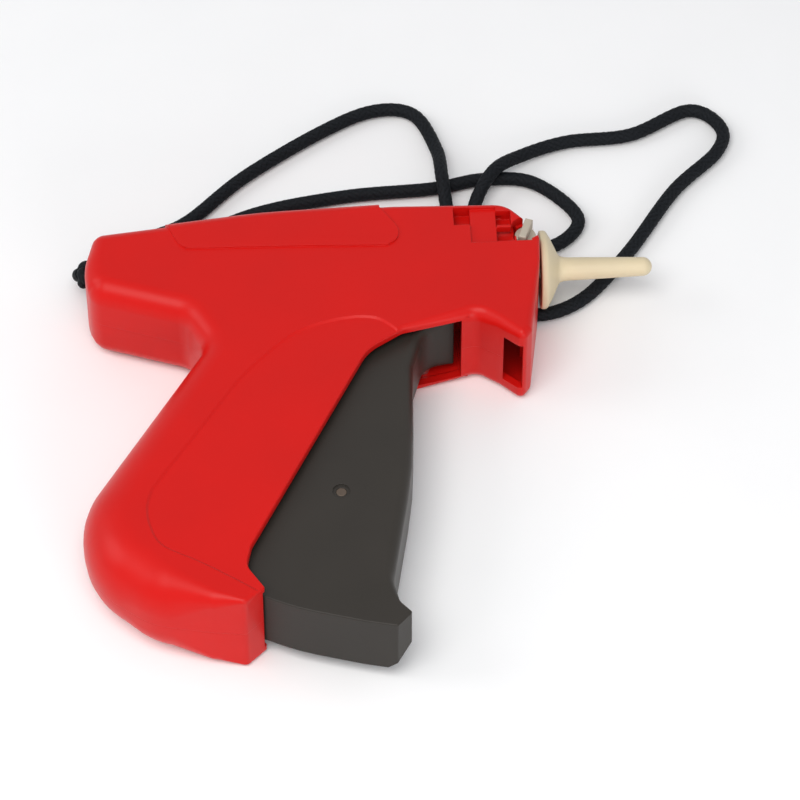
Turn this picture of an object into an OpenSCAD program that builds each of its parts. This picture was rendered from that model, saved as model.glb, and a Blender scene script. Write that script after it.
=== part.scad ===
// Hand-held garment tag attacher, lying on its left side.
// +X points along the needle, +Y towards the top of the barrel, +Z up off the table.
// The origin lies on the table, below the middle of the tool without its lanyard.
// All sizes are in millimetres.

/* [Casing] */
// Thickness of the whole casing, both shells together
body_t = 29; // [27:0.5:32]
// Wall of the moulded shells
wall = 2.2; // [1.8:0.1:2.6]
// Rounding of the handle's back edges
handle_round = 13; // [11:0.5:13.5]
// Rounding of the rear barrel's lower edges
barrel_round = 6.5; // [5:0.5:8]
// Height of the raised panel on the side of the barrel
panel_raise = 0.6; // [0.3:0.1:1]
// Width of the fastener clip's slot through the nose, along the barrel
clip_w = 5.2; // [4.6:0.1:5.6]
// Depth of the fastener clip's slot, across the casing
clip_t = 18; // [15:0.5:19]

/* [Needle] */
// Height of the needle's axis above the tool's middle
needle_y = 58.3; // [57:0.1:59]
// Outer radius of the needle
needle_r = 1.5; // [1.4:0.05:1.7]
// Wall of the needle
needle_wall = 0.4; // [0.3:0.05:0.5]
// Point where the needle ends
needle_tip_x = 77; // [74:0.5:77.5]
// Radius of the needle's plastic base
base_r = 3; // [2.7:0.1:3.2]
// Radius of the guard's flange
flange_r = 11.2; // [9:0.1:12]
// Thickness of the guard's flange
flange_t = 2.4; // [1.8:0.1:3]
// Point where the guard ends
guard_tip_x = 80.6; // [79:0.1:84]
// Radius of the guard's tube at its root
guard_r = 3.2; // [3:0.1:3.6]

/* [Trigger] */
// Thickness of the trigger
trigger_t = 19.6; // [18:0.2:20.4]
// Wall of the trigger's sides
trigger_wall = 2; // [1.6:0.1:2.2]
// Wall of the trigger's front
trigger_web = 1.8; // [1.4:0.1:1.8]
// Rounding of the trigger's front edges
trigger_round = 3; // [2:0.5:3.5]
// Radius of the steel pin that shows on the trigger
trigger_pin_r = 1.5; // [1.2:0.1:1.6]
// Radius of the trigger's hidden pivot pin
pivot_r = 1.8; // [1.6:0.1:2]

/* [Lever] */
// Thickness of the lever
lever_t = 5; // [4:0.5:6]
// Half width of the lever's arms
lever_half = 3.2; // [3:0.1:3.3]
// Radius of the lever's fulcrum pin
fulcrum_r = 1.5; // [1.2:0.1:1.6]
// Thickness of each bracket plate
bracket_t = 1.5; // [1.2:0.1:1.6]

/* [Ejector] */
// Radius of the ejector rod
rod_r = 0.8; // [0.7:0.05:0.85]
// Width of the ejector slide, across the casing
slide_t = 11; // [10:0.5:12]
// Half height of the ejector slide
slide_half = 3; // [2.6:0.1:3.2]
// Radius of the pin between lever and slide
slide_pin_r = 1.5; // [1.3:0.1:1.6]

/* [Feed] */
// Radius over the feed wheel's teeth
wheel_r = 6.6; // [6.2:0.1:6.8]
// Depth of the feed wheel's teeth
tooth_h = 1.4; // [1:0.1:1.6]
// Thickness of the feed wheel
wheel_t = 4; // [3:0.5:5]
// Radius of the feed wheel's axle
axle_r = 1.5; // [1.2:0.1:1.7]

/* [Knob and fasteners] */
// Radius of the lock knob's round base
knob_r = 3; // [2.7:0.1:3.2]
// Height of the lock knob's round base
knob_h = 3.2; // [3:0.1:4]
// Width of the lock knob's grip bar
knob_bar_w = 2.2; // [1.8:0.1:2.6]
// Radius of the casing screws' thread
screw_r = 1.3; // [1.1:0.1:1.4]
// Radius of the casing screws' heads
screw_head_r = 2.5; // [2.2:0.1:2.7]

/* [Lanyard] */
// Radius of the braided cord
cord_r = 2; // [1.8:0.05:2.1]
// Radius of the knot
knot_r = 3.9; // [3.6:0.1:4]

/* [Hidden] */
$fn = 48;

fit = 0.05;          // running clearance of a shaft in its hole
gap = 0.3;           // clearance of parts that pass each other
eps = 0.02;
mid_z = body_t / 2;  // the plane where the shells meet
axis_z = mid_z;      // height of the needle's axis

RED = [0.86, 0.16, 0.15];
GREY = [0.23, 0.22, 0.20];
STEEL = [0.70, 0.70, 0.72];
WHITE = [0.85, 0.85, 0.82];
CREAM = [0.87, 0.80, 0.65];
WARM_GREY = [0.69, 0.65, 0.59];
BLACK = [0.05, 0.06, 0.08];

// ---- Plane geometry helpers -------------------------------------------------
function unit(v) = v / norm(v);
function turned(v, a) = [v[0] * cos(a) - v[1] * sin(a), v[0] * sin(a) + v[1] * cos(a)];
function angle_of(v) = atan2(v[1], v[0]);
function xy(p) = [p[0], p[1]];
function wrap(i, n) = (i + n) % n;
// Inward normal of an edge of a clockwise outline.
function inward(a, b) = let (u = unit(b - a)) [u[1], -u[0]];
// Signed turn of a clockwise outline at a corner: positive where it is convex.
function corner_turn(a, b, c) =
    let (u = unit(b - a), v = unit(c - b)) atan2(u[1] * v[0] - u[0] * v[1], u * v);
// How far a corner moves for an inset of 1.
function miter(a, b, c) =
    let (m = inward(a, b), k = inward(b, c)) (m + k) / (1 + m * k);

// A control point is [x, y, corner radius, edge rounding right, edge rounding left].
// inset_points moves each corner inwards by its own distance.
function inset_points(pts, dist) =
    let (n = len(pts))
    [for (i = [0:n - 1])
        let (a = xy(pts[wrap(i - 1, n)]), b = xy(pts[i]), c = xy(pts[wrap(i + 1, n)]),
            side = corner_turn(a, b, c) > 0 ? 1 : -1)
        concat(b + miter(a, b, c) * dist[i], [max(pts[i][2] - side * dist[i], 0.15)])];

// Steps on each rounded corner and each straight edge, taken from the outer outline alone,
// so that all rings of a loft have the same count.
function corner_steps(pts) =
    let (n = len(pts))
    [for (i = [0:n - 1])
        let (t = abs(corner_turn(xy(pts[wrap(i - 1, n)]), xy(pts[i]), xy(pts[wrap(i + 1, n)]))))
        max(1, ceil(t / 24))];
function edge_steps(pts) =
    let (n = len(pts))
    [for (i = [0:n - 1]) max(1, floor(norm(xy(pts[wrap(i + 1, n)]) - xy(pts[i])) / 45))];

// One rounded corner as an arc of steps + 1 points.
function corner_arc(a, b, c, r, steps) =
    let (t = corner_turn(a, b, c), side = t > 0 ? 1 : -1, reach = r * tan(abs(t) / 2),
        start = b - unit(b - a) * reach, centre = start + inward(a, b) * r * side)
    [for (k = [0:steps]) centre + turned(start - centre, -t * k / steps)];

// The rounded outline, with value carried from corner to corner as a third number.
function ring(pts, corner_n, edge_n, value) =
    let (n = len(pts),
        arcs = [for (i = [0:n - 1])
            corner_arc(xy(pts[wrap(i - 1, n)]), xy(pts[i]), xy(pts[wrap(i + 1, n)]), pts[i][2], corner_n[i])])
    [for (i = [0:n - 1])
        let (j = wrap(i + 1, n), last = arcs[i][corner_n[i]], next = arcs[j][0])
        each concat(
            [for (p = arcs[i]) concat(p, [value[i]])],
            edge_n[i] < 2 ? [] : [for (k = [1:edge_n[i] - 1])
                concat(last + (next - last) * k / edge_n[i], [value[i] + (value[j] - value[i]) * k / edge_n[i]])])];

// One ring of a rounded loft: the edge rounding r follows a quarter circle up to height h.
function loft_ring(pts, corner_n, edge_n, radii, h, a) =
    [for (p = ring(inset_points(pts, radii * (1 - cos(a))), corner_n, edge_n, radii))
        [p[0], p[1], h - p[2] * (1 - sin(a))]];
function flat_ring(pts, corner_n, edge_n, z) =
    [for (p = ring(inset_points(pts, [for (q = pts) 0]), corner_n, edge_n, [for (q = pts) 0])) [p[0], p[1], z]];

function strip(first, second, n) =
    [for (i = [0:n - 1]) let (j = wrap(i + 1, n)) each [[first + i, first + j, second + j], [first + i, second + j, second + i]]];
function forward(start, n) = [for (i = [0:n - 1]) start + i];
function backward(start, n) = [for (i = [0:n - 1]) start + n - 1 - i];

ROUND_STEPS = [0, 32, 62, 90];
INNER_STEPS = [0, 50, 90];

// Half of a rounded slab, from its middle plane up to height h, hollow under a wall.
// A closed loft that runs past both ends of the half it is cut from.
module long_loft(pts, corner_n, edge_n, radii, h, steps) {
    lofted = concat([flat_ring(pts, corner_n, edge_n, -1)],
        [for (a = steps) loft_ring(pts, corner_n, edge_n, radii, h - 0.02, a)]);
    last = lofted[len(lofted) - 1];
    rings = concat(lofted, [[for (p = last) [p[0], p[1], h + 0.6]]]);
    n = len(last);
    k = len(rings);
    faces = concat([backward(0, n)], [for (i = [0:k - 2]) each strip(n * i, n * (i + 1), n)],
        [forward(n * (k - 1), n)]);
    polyhedron([for (r = rings) each r], faces);
}

module half_shell(pts, h, side) {
    outer_r = [for (p = pts) p[3 + side]];
    corner_n = corner_steps(pts);
    edge_n = edge_steps(pts);
    inner_pts = inset_points(pts, [for (p = pts) wall]);
    inner_r = [for (r = outer_r) max(r - wall, 0.4)];
    intersection() {
        translate([-150, -150, 0]) cube([300, 300, h]);
        difference() {
            long_loft(pts, corner_n, edge_n, outer_r, h, ROUND_STEPS);
            intersection() {
                translate([-140, -140, -0.5]) cube([280, 280, h - wall + 0.5]);
                long_loft(inner_pts, corner_n, edge_n, inner_r, h - wall, INNER_STEPS);
            }
        }
    }
}

// A whole rounded slab, the same on both sides of its middle plane.
module rounded_slab(pts, h) {
    radii = [for (p = pts) p[3]];
    corner_n = corner_steps(pts);
    edge_n = edge_steps(pts);
    upper = [for (a = ROUND_STEPS) loft_ring(pts, corner_n, edge_n, radii, h, a)];
    k = len(upper);
    rings = concat([for (i = [k - 1:-1:0]) [for (p = upper[i]) [p[0], p[1], -p[2]]]], upper);
    n = len(rings[0]);
    faces = concat([backward(0, n)], [for (i = [0:2 * k - 2]) each strip(n * i, n * (i + 1), n)],
        [forward(n * (2 * k - 1), n)]);
    polyhedron([for (r = rings) each r], faces);
}

// A bar with round ends between two points, lying from z to z + t.
module bar(p, q, r, z, t) {
    side = turned(unit(q - p), 90) * r * 0.95;
    translate([0, 0, z]) {
        translate(p) cylinder(r = r, h = t);
        translate(q) cylinder(r = r, h = t);
        linear_extrude(t) polygon([p + side, p - side, q - side, q + side]);
    }
}
module disc(p, r, z, t) {
    translate([p[0], p[1], z]) cylinder(r = r, h = t);
}
module plate(pts, z, t) {
    translate([0, 0, z]) linear_extrude(t) polygon(pts);
}

// ---- Shared places ----------------------------------------------------------
trigger_pivot = [14, 33];
trigger_pin_at = [-11, -27];
fulcrum = [-7.4, -1.5];
squeeze = 17.5;      // travel of the trigger, in degrees
lever_swing = 45.4;  // travel of the lever, in degrees
slide_lean = 22.4;   // the lever's top arm leans back this far at rest
arm_rise = needle_y - fulcrum[1];
slide_x = fulcrum[0] - arm_rise * tan(slide_lean);   // the slide's pin at rest
arc_r = 105.9;       // the foot's lower edge is an arc about the trigger's pivot
cheek_top = [-3.4, 17.1];
cheek_foot = [-35.6, -47.5];
opening_x = 24.6;    // the wall where the trigger's opening ends
nose_x = 48.2;       // the front face, where the guard's flange seats
track_x = 36.2;      // rear side of the clip's slot
wheel_at = [track_x - wheel_r + 0.6, 48.8];
pawl_at = [32, 36];
knob_at = [44.4, 61.6];
knob_z = 22.9;       // floor under the lock knob
screw_at = [[-68, 54], [-40, 31.5], [-71, -37], [29.5, 66.2]];
lanyard_at = [-80, 62];

// The casing's outline, clockwise from the top of the rear: straight runs with rounded corners.
casing_points = [
    [-77.6, 66.0, 4, 4, 4],
    [-30, 71.8, 150, 3.5, 3.5],
    [8, 72.8, 150, 2.5, 2.5],
    [39.2, 71.2, 8, 1.2, 2],
    [45.8, 63.6, 2, 1.2, 2],
    [nose_x, 59, 5, 1, 1],
    [nose_x - 0.5, 50, 30, 1, 1],
    [44.0, 25.0, 2, 2.4, 3],
    [41.4, 21.4, 2, 2.4, 3],
    [34.8, 27.2, 10, 3, 3.5],
    [29, 30.8, 4, 4, 4],
    [opening_x - 1, 29.6, 3, 3, 3],
    [7.7, 25.9, 3, 1.2, 1.2],
    [-2.0, 19.5, 14, 1.2, 1.2],
    [cheek_foot[0], cheek_foot[1], 8, 1.5, 1.5],
    [-37.0, -54.0, 5, 1.5, 1.5],
    [-32.4, -61.6, 0.6, 1.2, 1.2],
    [-37.8, -66.8, 2, 1.2, 1.2],
    [-46.5, -65.8, 20, 4, 4],
    [-62.5, -62.8, 22, handle_round - 2, handle_round - 2],
    [-78.5, -50.5, 25, handle_round, handle_round],
    [-82.6, -30, 25, handle_round, handle_round],
    [-46.8, 24.5, 6, barrel_round, barrel_round],
    [-52.5, 35.0, 6, barrel_round, barrel_round],
    [-78.6, 44.0, 6, barrel_round, barrel_round],
    [-81.2, 54, 20, 5, 5]
];

// The trigger's outline, clockwise from its hidden top. The side rounding is only on the front.
cheek_dir = unit(cheek_foot - cheek_top);
cheek_side = turned(cheek_dir, -90);
rear_cover = 4;      // how far the trigger reaches behind the casing's cheek
foot_rear_x = -40;
function on_arc(x, r) = [x, trigger_pivot[1] - sqrt(r * r - pow(x - trigger_pivot[0], 2))];
trigger_points = [
    [3.5, 38.5, 4, 0.4],
    [20.0, 39.0, 4, 0.4],
    [22.6, 34.0, 0.8, 0.4],
    [22.7, 32.8, 0.5, 0.4],
    [14.0, 29.4, 8, trigger_round],
    [10.4, 17.0, 12, trigger_round],
    [9.0, -18.0, 160, trigger_round],
    [2.0, -56.0, 14, trigger_round],
    [3.0, -64.3, 4, 0.6],
    [6.4, -68.4, 0.8, 0.4],
    [2.2, -72.8, 0.6, 0.4],
    concat(on_arc(-6.4, arc_r), [40, 0.4]),
    concat(on_arc(-24, arc_r), [60, 0.4]),
    concat(on_arc(foot_rear_x, arc_r), [1, 0.4]),
    [foot_rear_x - 0.6, -50, 3, 0.4],
    concat(cheek_foot + cheek_side * rear_cover + [-1.6, 0], [6, 0.4]),
    concat(cheek_top + cheek_side * rear_cover, [6, 0.4])
];
web_inner = [for (p = inset_points(trigger_points, [for (q = trigger_points) trigger_web])) xy(p)];

// ---- Casing -----------------------------------------------------------------
// What the trigger sweeps inside the casing, with clearance: open towards the front.
module trigger_opening() {
    first = angle_of(on_arc(-50, arc_r) - trigger_pivot);
    last = angle_of(on_arc(20, arc_r) - trigger_pivot);
    arc = [for (k = [0:24]) trigger_pivot + turned([arc_r + gap, 0], first + (last - first) * k / 24)];
    plate(concat(arc, [[opening_x, 0], [opening_x, 42], [-20, 42], [-44, 0], [-56, -40]]),
        wall + 0.3, body_t - 2 * wall - 0.6);
}

module clip_slot() {
    translate([track_x, 10, mid_z - clip_t / 2]) cube([clip_w, 75, clip_t]);
}

module screw_post(p, h) {
    disc(p, screw_r + 1.7, wall - 0.6, h);
}

// Sockets, partitions and seats inside one half, drawn for z from the table to the middle plane.
module inner_fittings() {
    for (p = screw_at) screw_post(p, mid_z - wall + 0.6);
    disc(wheel_at, axle_r + 1.8, wall - 0.6, 4.8);
    disc(pawl_at, 2.6, wall - 0.6, 4.8);
    // the wall that ends the trigger's opening
    translate([opening_x - 0.4, 30.6, wall - 0.6]) cube([2.4, 8.9, mid_z - wall + 0.6]);
    // the seat of the return spring
    disc(spring_seat, 3.4, wall - 0.6, mid_z - wall + 0.6);
    plate([spring_seat - spring_dir * 4.6 + spring_side * 0.6, spring_seat - spring_dir * 4.6 - spring_side * 0.6,
        spring_seat - spring_dir * 2.4 - spring_side * 0.6, spring_seat - spring_dir * 2.4 + spring_side * 0.6],
        wall - 0.6, mid_z - wall + 0.6);
}
spring_seat = [-58.5, -14.5];

module nose_front() {
    // the thick front that holds the needle's base
    translate([43.4, 52, wall - 0.6]) cube([3.4, 12, body_t - 2 * wall + 1.2]);
}

module bores() {
    // the needle base's seat and the ejector's way
    translate([30, needle_y, axis_z]) rotate([0, 90, 0]) cylinder(r = base_r + fit, h = 30);
    // the pins' seats
    disc(trigger_pivot, pivot_r + fit, pin_end, body_t - 2 * pin_end);
    disc(wheel_at, axle_r + fit, wall - 0.4, body_t - 2 * wall + 0.8);
    disc(pawl_at, 1 + fit, wall - 0.4, body_t - 2 * wall + 0.8);
    disc([lanyard_at[0] + knot_r + 2, lanyard_at[1]], 1.5, wall - 0.4, body_t - 2 * wall + 0.8);
    // the lanyard's hole in the rear
    translate([-90, lanyard_at[1], mid_z]) rotate([0, 90, 0]) cylinder(r = knot_r + 0.4, h = 15.5);
}

module right_shell() {
    color(RED) difference() {
        union() {
            difference() {
                union() {
                    translate([0, 0, mid_z]) half_shell(casing_points, mid_z, 0);
                    translate([0, 0, body_t]) mirror([0, 0, 1]) inner_fittings();
                    intersection() {
                        nose_front();
                        translate([30, 40, mid_z]) cube([30, 40, 30]);
                    }
                    // the floor of the nose's recesses, and the hub under the lock knob
                    translate([22.9, 56.4, body_t - 5.95]) cube([18.3, 14.1, 2.35]);
                    translate([43, 55.2, body_t - 8.5]) cube([3.6, 8.4, 3.9]);
                    // the raised panel on the barrel
                    plate([[-56.5, 69.2], [-54, 61], [-50.6, 59], [1.4, 58], [6.6, 59.6], [7.8, 63.5],
                        [4.5, 70.8]], body_t - 0.5, 0.5 + panel_raise);
                }
                trigger_opening();
                clip_slot();
                nose_recesses();
            }
        }
        bores();
        disc(knob_at, knob_shaft_r + fit, mid_z, 20);
        for (p = screw_at) disc(p, screw_r, mid_z - 1, 7.2);
    }
}
// Window beside the clip's slot, the lowered block, the open recesses and the lock knob's place.
module nose_recesses() {
    translate([24.2, 63.6, body_t - 3.7]) cube([4.7, 6.5, 6]);
    translate([28.8, 56.8, body_t - 0.9]) cube([7.5, 13.1, 2]);
    translate([36.2, 63, body_t - 3.8]) cube([4.9, 6.4, 6]);
    translate([36.2, 57, body_t - 3]) cube([4.9, 5.2, 6]);
    disc(knob_at, knob_r + 0.35, knob_z, 9);
    disc(knob_at, knob_bar_l / 2 + 0.6, knob_z + knob_h - 0.2, 9);
}
knob_shaft_r = 1.6;

module left_shell() {
    color(RED) difference() {
        union() {
            difference() {
                union() {
                    translate([0, 0, mid_z]) mirror([0, 0, 1]) half_shell(casing_points, mid_z, 1);
                    inner_fittings();
                    intersection() {
                        nose_front();
                        translate([30, 40, 0]) cube([30, 40, mid_z]);
                    }
                    // the floor of the relief that the lanyard passes through
                    translate([relief_x - 1.5, 48.4, cord_relief - 0.5]) cube([46.6 - relief_x + 1.5, 21.7, 2.1]);
                    translate([relief_x - 1.4, 48.5, 1]) cube([2.2, 21.4, cord_relief + 0.5]);
                    translate([relief_x - 1.4, 47.4, 1]) cube([46.4 - relief_x + 1.4, 2.2, cord_relief + 0.4]);
                }
                trigger_opening();
                clip_slot();
                // relief across the nose's lower side
                translate([relief_x, 49, -1]) cube([57.4 - relief_x, 30, cord_relief + 1]);
            }
        }
        bores();
        disc(knob_at, knob_shaft_r + fit, 8, 20);
        for (p = screw_at) {
            disc(p, screw_r + 0.2, -1, 20);
            disc(p, screw_head_r + 0.2, -1, screw_head_z + 1.05);
        }
    }
}
pin_end = 0.9;        // how far from the casing's flat sides the trigger's pivot pin ends
relief_x = 23.8;     // where the relief for the lanyard starts
cord_relief = 4.7;
screw_head_z = 6.5;   // depth of the screw heads' wells

module shell_screws() {
    color(STEEL) for (p = screw_at) {
        disc(p, screw_r, screw_head_z, 14);
        difference() {
            disc(p, screw_head_r, screw_head_z - 2, 2 + eps);
            translate([p[0] - 1.8, p[1] - 0.3, screw_head_z - 2.1]) cube([3.6, 0.6, 1]);
            translate([p[0] - 0.3, p[1] - 1.8, screw_head_z - 2.1]) cube([0.6, 3.6, 1]);
        }
    }
}

// ---- Trigger and lever ------------------------------------------------------
module trigger() {
    inner_t = trigger_t - 2 * trigger_wall;
    cut = concat([[20.7, 34.4]], [for (i = [4:len(web_inner) - 5]) web_inner[i]],
        [[-41, -54], [-60, -40], [-30, 45], [3, 46], [19, 46]]);
    color(GREY) difference() {
        translate([0, 0, mid_z]) rounded_slab(trigger_points, trigger_t / 2);
        plate(cut, mid_z - inner_t / 2, inner_t);
        disc(trigger_pivot, pivot_r + fit, -1, 40);
        disc(trigger_pin_at, trigger_pin_r, -1, 40);
        for (z = [mid_z - trigger_t / 2 - 1, mid_z + trigger_t / 2 - 0.5])
            disc(trigger_pin_at, trigger_pin_r + 0.9, z, 1.5);
        // the toe's corner is cut away on the left side
        translate([0, -61, 0]) rotate([90, 0, 0]) linear_extrude(15) polygon([[-1.3, 4], [10, 4], [10, 15.3]]);
    }
}
module trigger_pin() {
    color(STEEL) disc(trigger_pin_at, trigger_pin_r, mid_z - trigger_t / 2 + 0.4, trigger_t - 0.8);
}
module trigger_pivot_pin() {
    color(STEEL) disc(trigger_pivot, pivot_r, pin_end + 0.1, body_t - 2 * pin_end - 0.2);
}

lever_z = mid_z - lever_t / 2;
top_dir = turned([0, 1], slide_lean);
arm_knee = fulcrum + 26 * top_dir + turned(top_dir, 90) * 5;
pin_dir = unit(trigger_pin_at - fulcrum);
pin_far = norm(trigger_pin_at - fulcrum);
arm_top_far = arm_rise / cos(slide_lean);

module lever_slot(dir, near, far, r) {
    bar(fulcrum + dir * near, fulcrum + dir * far, r, lever_z - 1, lever_t + 2);
}
module drive_lever() {
    color(WHITE) difference() {
        union() {
            bar(fulcrum, fulcrum + pin_dir * (pin_far - 0.4), lever_half, lever_z, lever_t);
            bar(fulcrum, arm_knee, lever_half, lever_z, lever_t);
            bar(arm_knee, fulcrum + top_dir * (arm_top_far - 2.4), lever_half + 0.6, lever_z, lever_t);
            disc(fulcrum + top_dir * (arm_top_far - 1), lever_half + 0.6, lever_z, lever_t);
            // the pad that the return spring presses on
            plate([trigger_pin_at + spring_dir * 2.4 + spring_side, trigger_pin_at + spring_dir * 2.4 - spring_side,
                trigger_pin_at + spring_dir * 3.8 - spring_side, trigger_pin_at + spring_dir * 3.8 + spring_side],
                lever_z, lever_t);
        }
        disc(fulcrum, fulcrum_r + fit, lever_z - 1, lever_t + 2);
        lever_slot(pin_dir, pin_far - 1.5, pin_far + 0.1, trigger_pin_r + 0.25);
        lever_slot(top_dir, arm_rise - 1, arm_top_far + 0.3, slide_pin_r + 0.65);
    }
}
module fulcrum_pin() {
    color(STEEL) disc(fulcrum, fulcrum_r, bracket_low, bracket_high + bracket_t - bracket_low);
}
bracket_low = mid_z - 7;
bracket_high = mid_z + 7 - bracket_t;
bracket_feet = [[-34, 16], [-46, 3]];
module lever_bracket() {
    color(STEEL) difference() {
        union() {
            for (z = [bracket_low, bracket_high]) {
                bar(fulcrum + [-0.6, 0.2], bracket_feet[0], 2.8, z, bracket_t);
                bar(fulcrum + [-0.6, 0.2], bracket_feet[1], 2.8, z, bracket_t);
                bar(bracket_feet[0], bracket_feet[1], 3.4, z, bracket_t);
            }
            for (p = bracket_feet) disc(p, 2.6, wall, body_t - 2 * wall);
        }
        disc(fulcrum, fulcrum_r, 0, 40);
    }
}

// The return spring: one unbroken helix between the lever's foot and its seat in the handle.
spring_dir = unit(spring_seat - trigger_pin_at);
spring_side = turned(spring_dir, 90) * 4.2;
spring_from = trigger_pin_at + spring_dir * 4.4;
spring_to = spring_seat - spring_dir * 5.2;
spring_len = norm(spring_to - spring_from);
spring_r = 3.6;
spring_wire = 0.5;
spring_turns = 13;
function coil_point(t) =
    let (a = 360 * spring_turns * t)
    [spring_from[0] + spring_dir[0] * spring_len * t - spring_dir[1] * spring_r * cos(a),
     spring_from[1] + spring_dir[1] * spring_len * t + spring_dir[0] * spring_r * cos(a),
     mid_z + spring_r * sin(a)];

// A tube of constant radius along points, without twist: each ring is carried on from the last.
function cross3(a, b) = cross(a, b);
function tangent(p, i) = unit(p[min(i + 1, len(p) - 1)] - p[max(i - 1, 0)]);
function carried(side, t) = unit(side - t * (side * t));
function frames(p, i, side) =
    i == len(p) ? [] : let (s = carried(side, tangent(p, i))) concat([s], frames(p, i + 1, s));
module tube(p, r, sides, first_side) {
    sidev = frames(p, 0, first_side);
    n = len(p);
    points = [for (i = [0:n - 1])
        let (t = tangent(p, i), u = sidev[i], v = cross3(t, u))
        for (k = [0:sides - 1]) p[i] + r * (u * cos(360 * k / sides) + v * sin(360 * k / sides))];
    faces = concat([backward(0, sides)],
        [for (i = [0:n - 2]) each strip(sides * i, sides * (i + 1), sides)],
        [forward(sides * (n - 1), sides)]);
    polyhedron(points, [for (f = faces) [for (i = [len(f) - 1:-1:0]) f[i]]]);
}
module return_spring() {
    color(STEEL) tube([for (k = [0:8 * spring_turns]) coil_point(k / (8 * spring_turns))], spring_wire, 6, [0, 0, 1]);
}

// ---- Ejector ----------------------------------------------------------------
slide_slot = lever_half + 3;   // half length of the lever's room in the slide
slide_end = 2.2;
slide_front = slide_x + slide_slot + slide_end;
rail_gap = 0.15;
module ejector_slide() {
    color(WHITE) difference() {
        translate([slide_x - slide_slot - slide_end, needle_y - slide_half, axis_z - slide_t / 2])
            cube([2 * (slide_slot + slide_end), 2 * slide_half, slide_t]);
        translate([slide_x - slide_slot, needle_y - slide_half - 1, axis_z - lever_t / 2 - 0.4])
            cube([2 * slide_slot, 2 * slide_half + 2, lever_t + 0.8]);
        translate([slide_x, needle_y, axis_z - slide_t]) cylinder(r = slide_pin_r, h = 2 * slide_t);
        translate([slide_front - slide_end - 1, needle_y, axis_z]) rotate([0, 90, 0]) cylinder(r = rod_r, h = 10);
    }
}
module slide_pin() {
    color(STEEL) translate([slide_x, needle_y, axis_z - slide_t / 2]) cylinder(r = slide_pin_r, h = slide_t);
}
rod_tip_x = 27.5;
module ejector_rod() {
    color(STEEL) translate([slide_front - slide_end, needle_y, axis_z]) rotate([0, 90, 0])
        cylinder(r = rod_r, h = rod_tip_x - slide_front + slide_end);
}
// Two rails carry the slide's sides; each ends in feet that stand on the shells.
rail_from = slide_x - slide_slot - slide_end - 2;
rail_to = 26;
module slide_rails() {
    rail_z = slide_t / 2 + rail_gap;
    color(WHITE) for (side = [-1, 1]) {
        translate([rail_from, needle_y - slide_half - 1.4, side > 0 ? axis_z + rail_z : axis_z - rail_z - 1.6])
            cube([rail_to - rail_from, 2 * slide_half + 2.8, 1.6]);
        for (y = [needle_y - slide_half - 1.4, needle_y + slide_half + rail_gap])
            translate([rail_from, y, side > 0 ? axis_z + rail_z - 2 : axis_z - rail_z])
                cube([rail_to - rail_from, 1.4 - rail_gap, 2]);
        for (x = [rail_from + 4, -8, 12])
            translate([x, needle_y - 2, side > 0 ? axis_z + rail_z + 1.5 : wall])
                cube([3, 4, body_t / 2 - rail_z - 1.5 - wall]);
    }
}

// ---- Feed -------------------------------------------------------------------
teeth = 12;
function tooth(k) =
    let (a = 360 / teeth)
    [turned([wheel_r - tooth_h, 0], k * a), turned([wheel_r, 0], k * a + a * 0.72),
     turned([wheel_r - tooth_h, 0], k * a + a * 0.86)];
module feed_wheel() {
    color(WHITE) translate([wheel_at[0], wheel_at[1], axis_z - wheel_t / 2]) difference() {
        union() {
            rotate([0, 0, wheel_phase]) linear_extrude(wheel_t) polygon([for (k = [0:teeth - 1]) each tooth(k)]);
            translate([0, 0, -2]) cylinder(r = 2.8, h = wheel_t + 4);
        }
        translate([0, 0, -5]) cylinder(r = axle_r + fit, h = 20);
    }
}
module feed_axle() {
    color(STEEL) disc(wheel_at, axle_r, wall - 0.3, body_t - 2 * wall + 0.6);
}
// The pawl's nose stands in a tooth gap under the wheel.
nose_angle = -125;
wheel_phase = nose_angle - 27.9;   // turns the wheel so that a tooth gap meets the pawl
pawl_nose = wheel_at + (wheel_r - tooth_h + 0.35) * turned([1, 0], nose_angle);
module check_pawl() {
    dir = unit(pawl_nose - pawl_at);
    side = turned(dir, 90);
    color(WARM_GREY) difference() {
        union() {
            disc(pawl_at, 2.4, axis_z - 1.5, 3);
            plate([pawl_at + side * 1.3, pawl_nose + side * 0.3, pawl_nose - side * 0.25,
                pawl_at - side * 1.2], axis_z - 1.5, 3);
        }
        disc(pawl_at, 1 + fit, 0, 40);
    }
}
module pawl_pin() {
    color(STEEL) disc(pawl_at, 1, wall, body_t - 2 * wall);
}
module pawl_spring() {
    color(STEEL) {
        translate([opening_x + 2, 37.4, axis_z - 1]) cube([1.6, 0.3, 2]);
        translate([opening_x + 3.3, 37.4, axis_z - 1]) cube([0.3, 3.1, 2]);
    }
}
// The clip's track: two plates with a window for the wheel and the ejector's holes.
module clip_track() {
    track_low = 6.4;
    track_t = 15.9;
    color(WHITE) difference() {
        union() {
            translate([track_x - 1.2, 33, track_low]) cube([1.2 - eps, 34, track_t]);
            translate([track_x + clip_w + eps, 33, track_low]) cube([1.2, 30, track_t]);
        }
        translate([track_x - 3, wheel_at[1] - 7.4, axis_z - wheel_t / 2 - 0.6]) cube([4, 14.8, wheel_t + 1.2]);
        translate([30, needle_y, axis_z]) rotate([0, 90, 0]) cylinder(r = rod_r + 0.3, h = 20);
        disc(knob_at, knob_shaft_r + 0.3, 0, body_t);
    }
}
module cutter_blade() {
    color(STEEL) plate([[track_x + clip_w + 1.3, 50.5], [track_x + clip_w + 1.3, 56.9],
        [track_x + clip_w + 1.6, 57.1], [track_x + clip_w + 1.8, 56.9], [track_x + clip_w + 1.8, 50.5]],
        axis_z - 2.5, 5);
}

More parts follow.
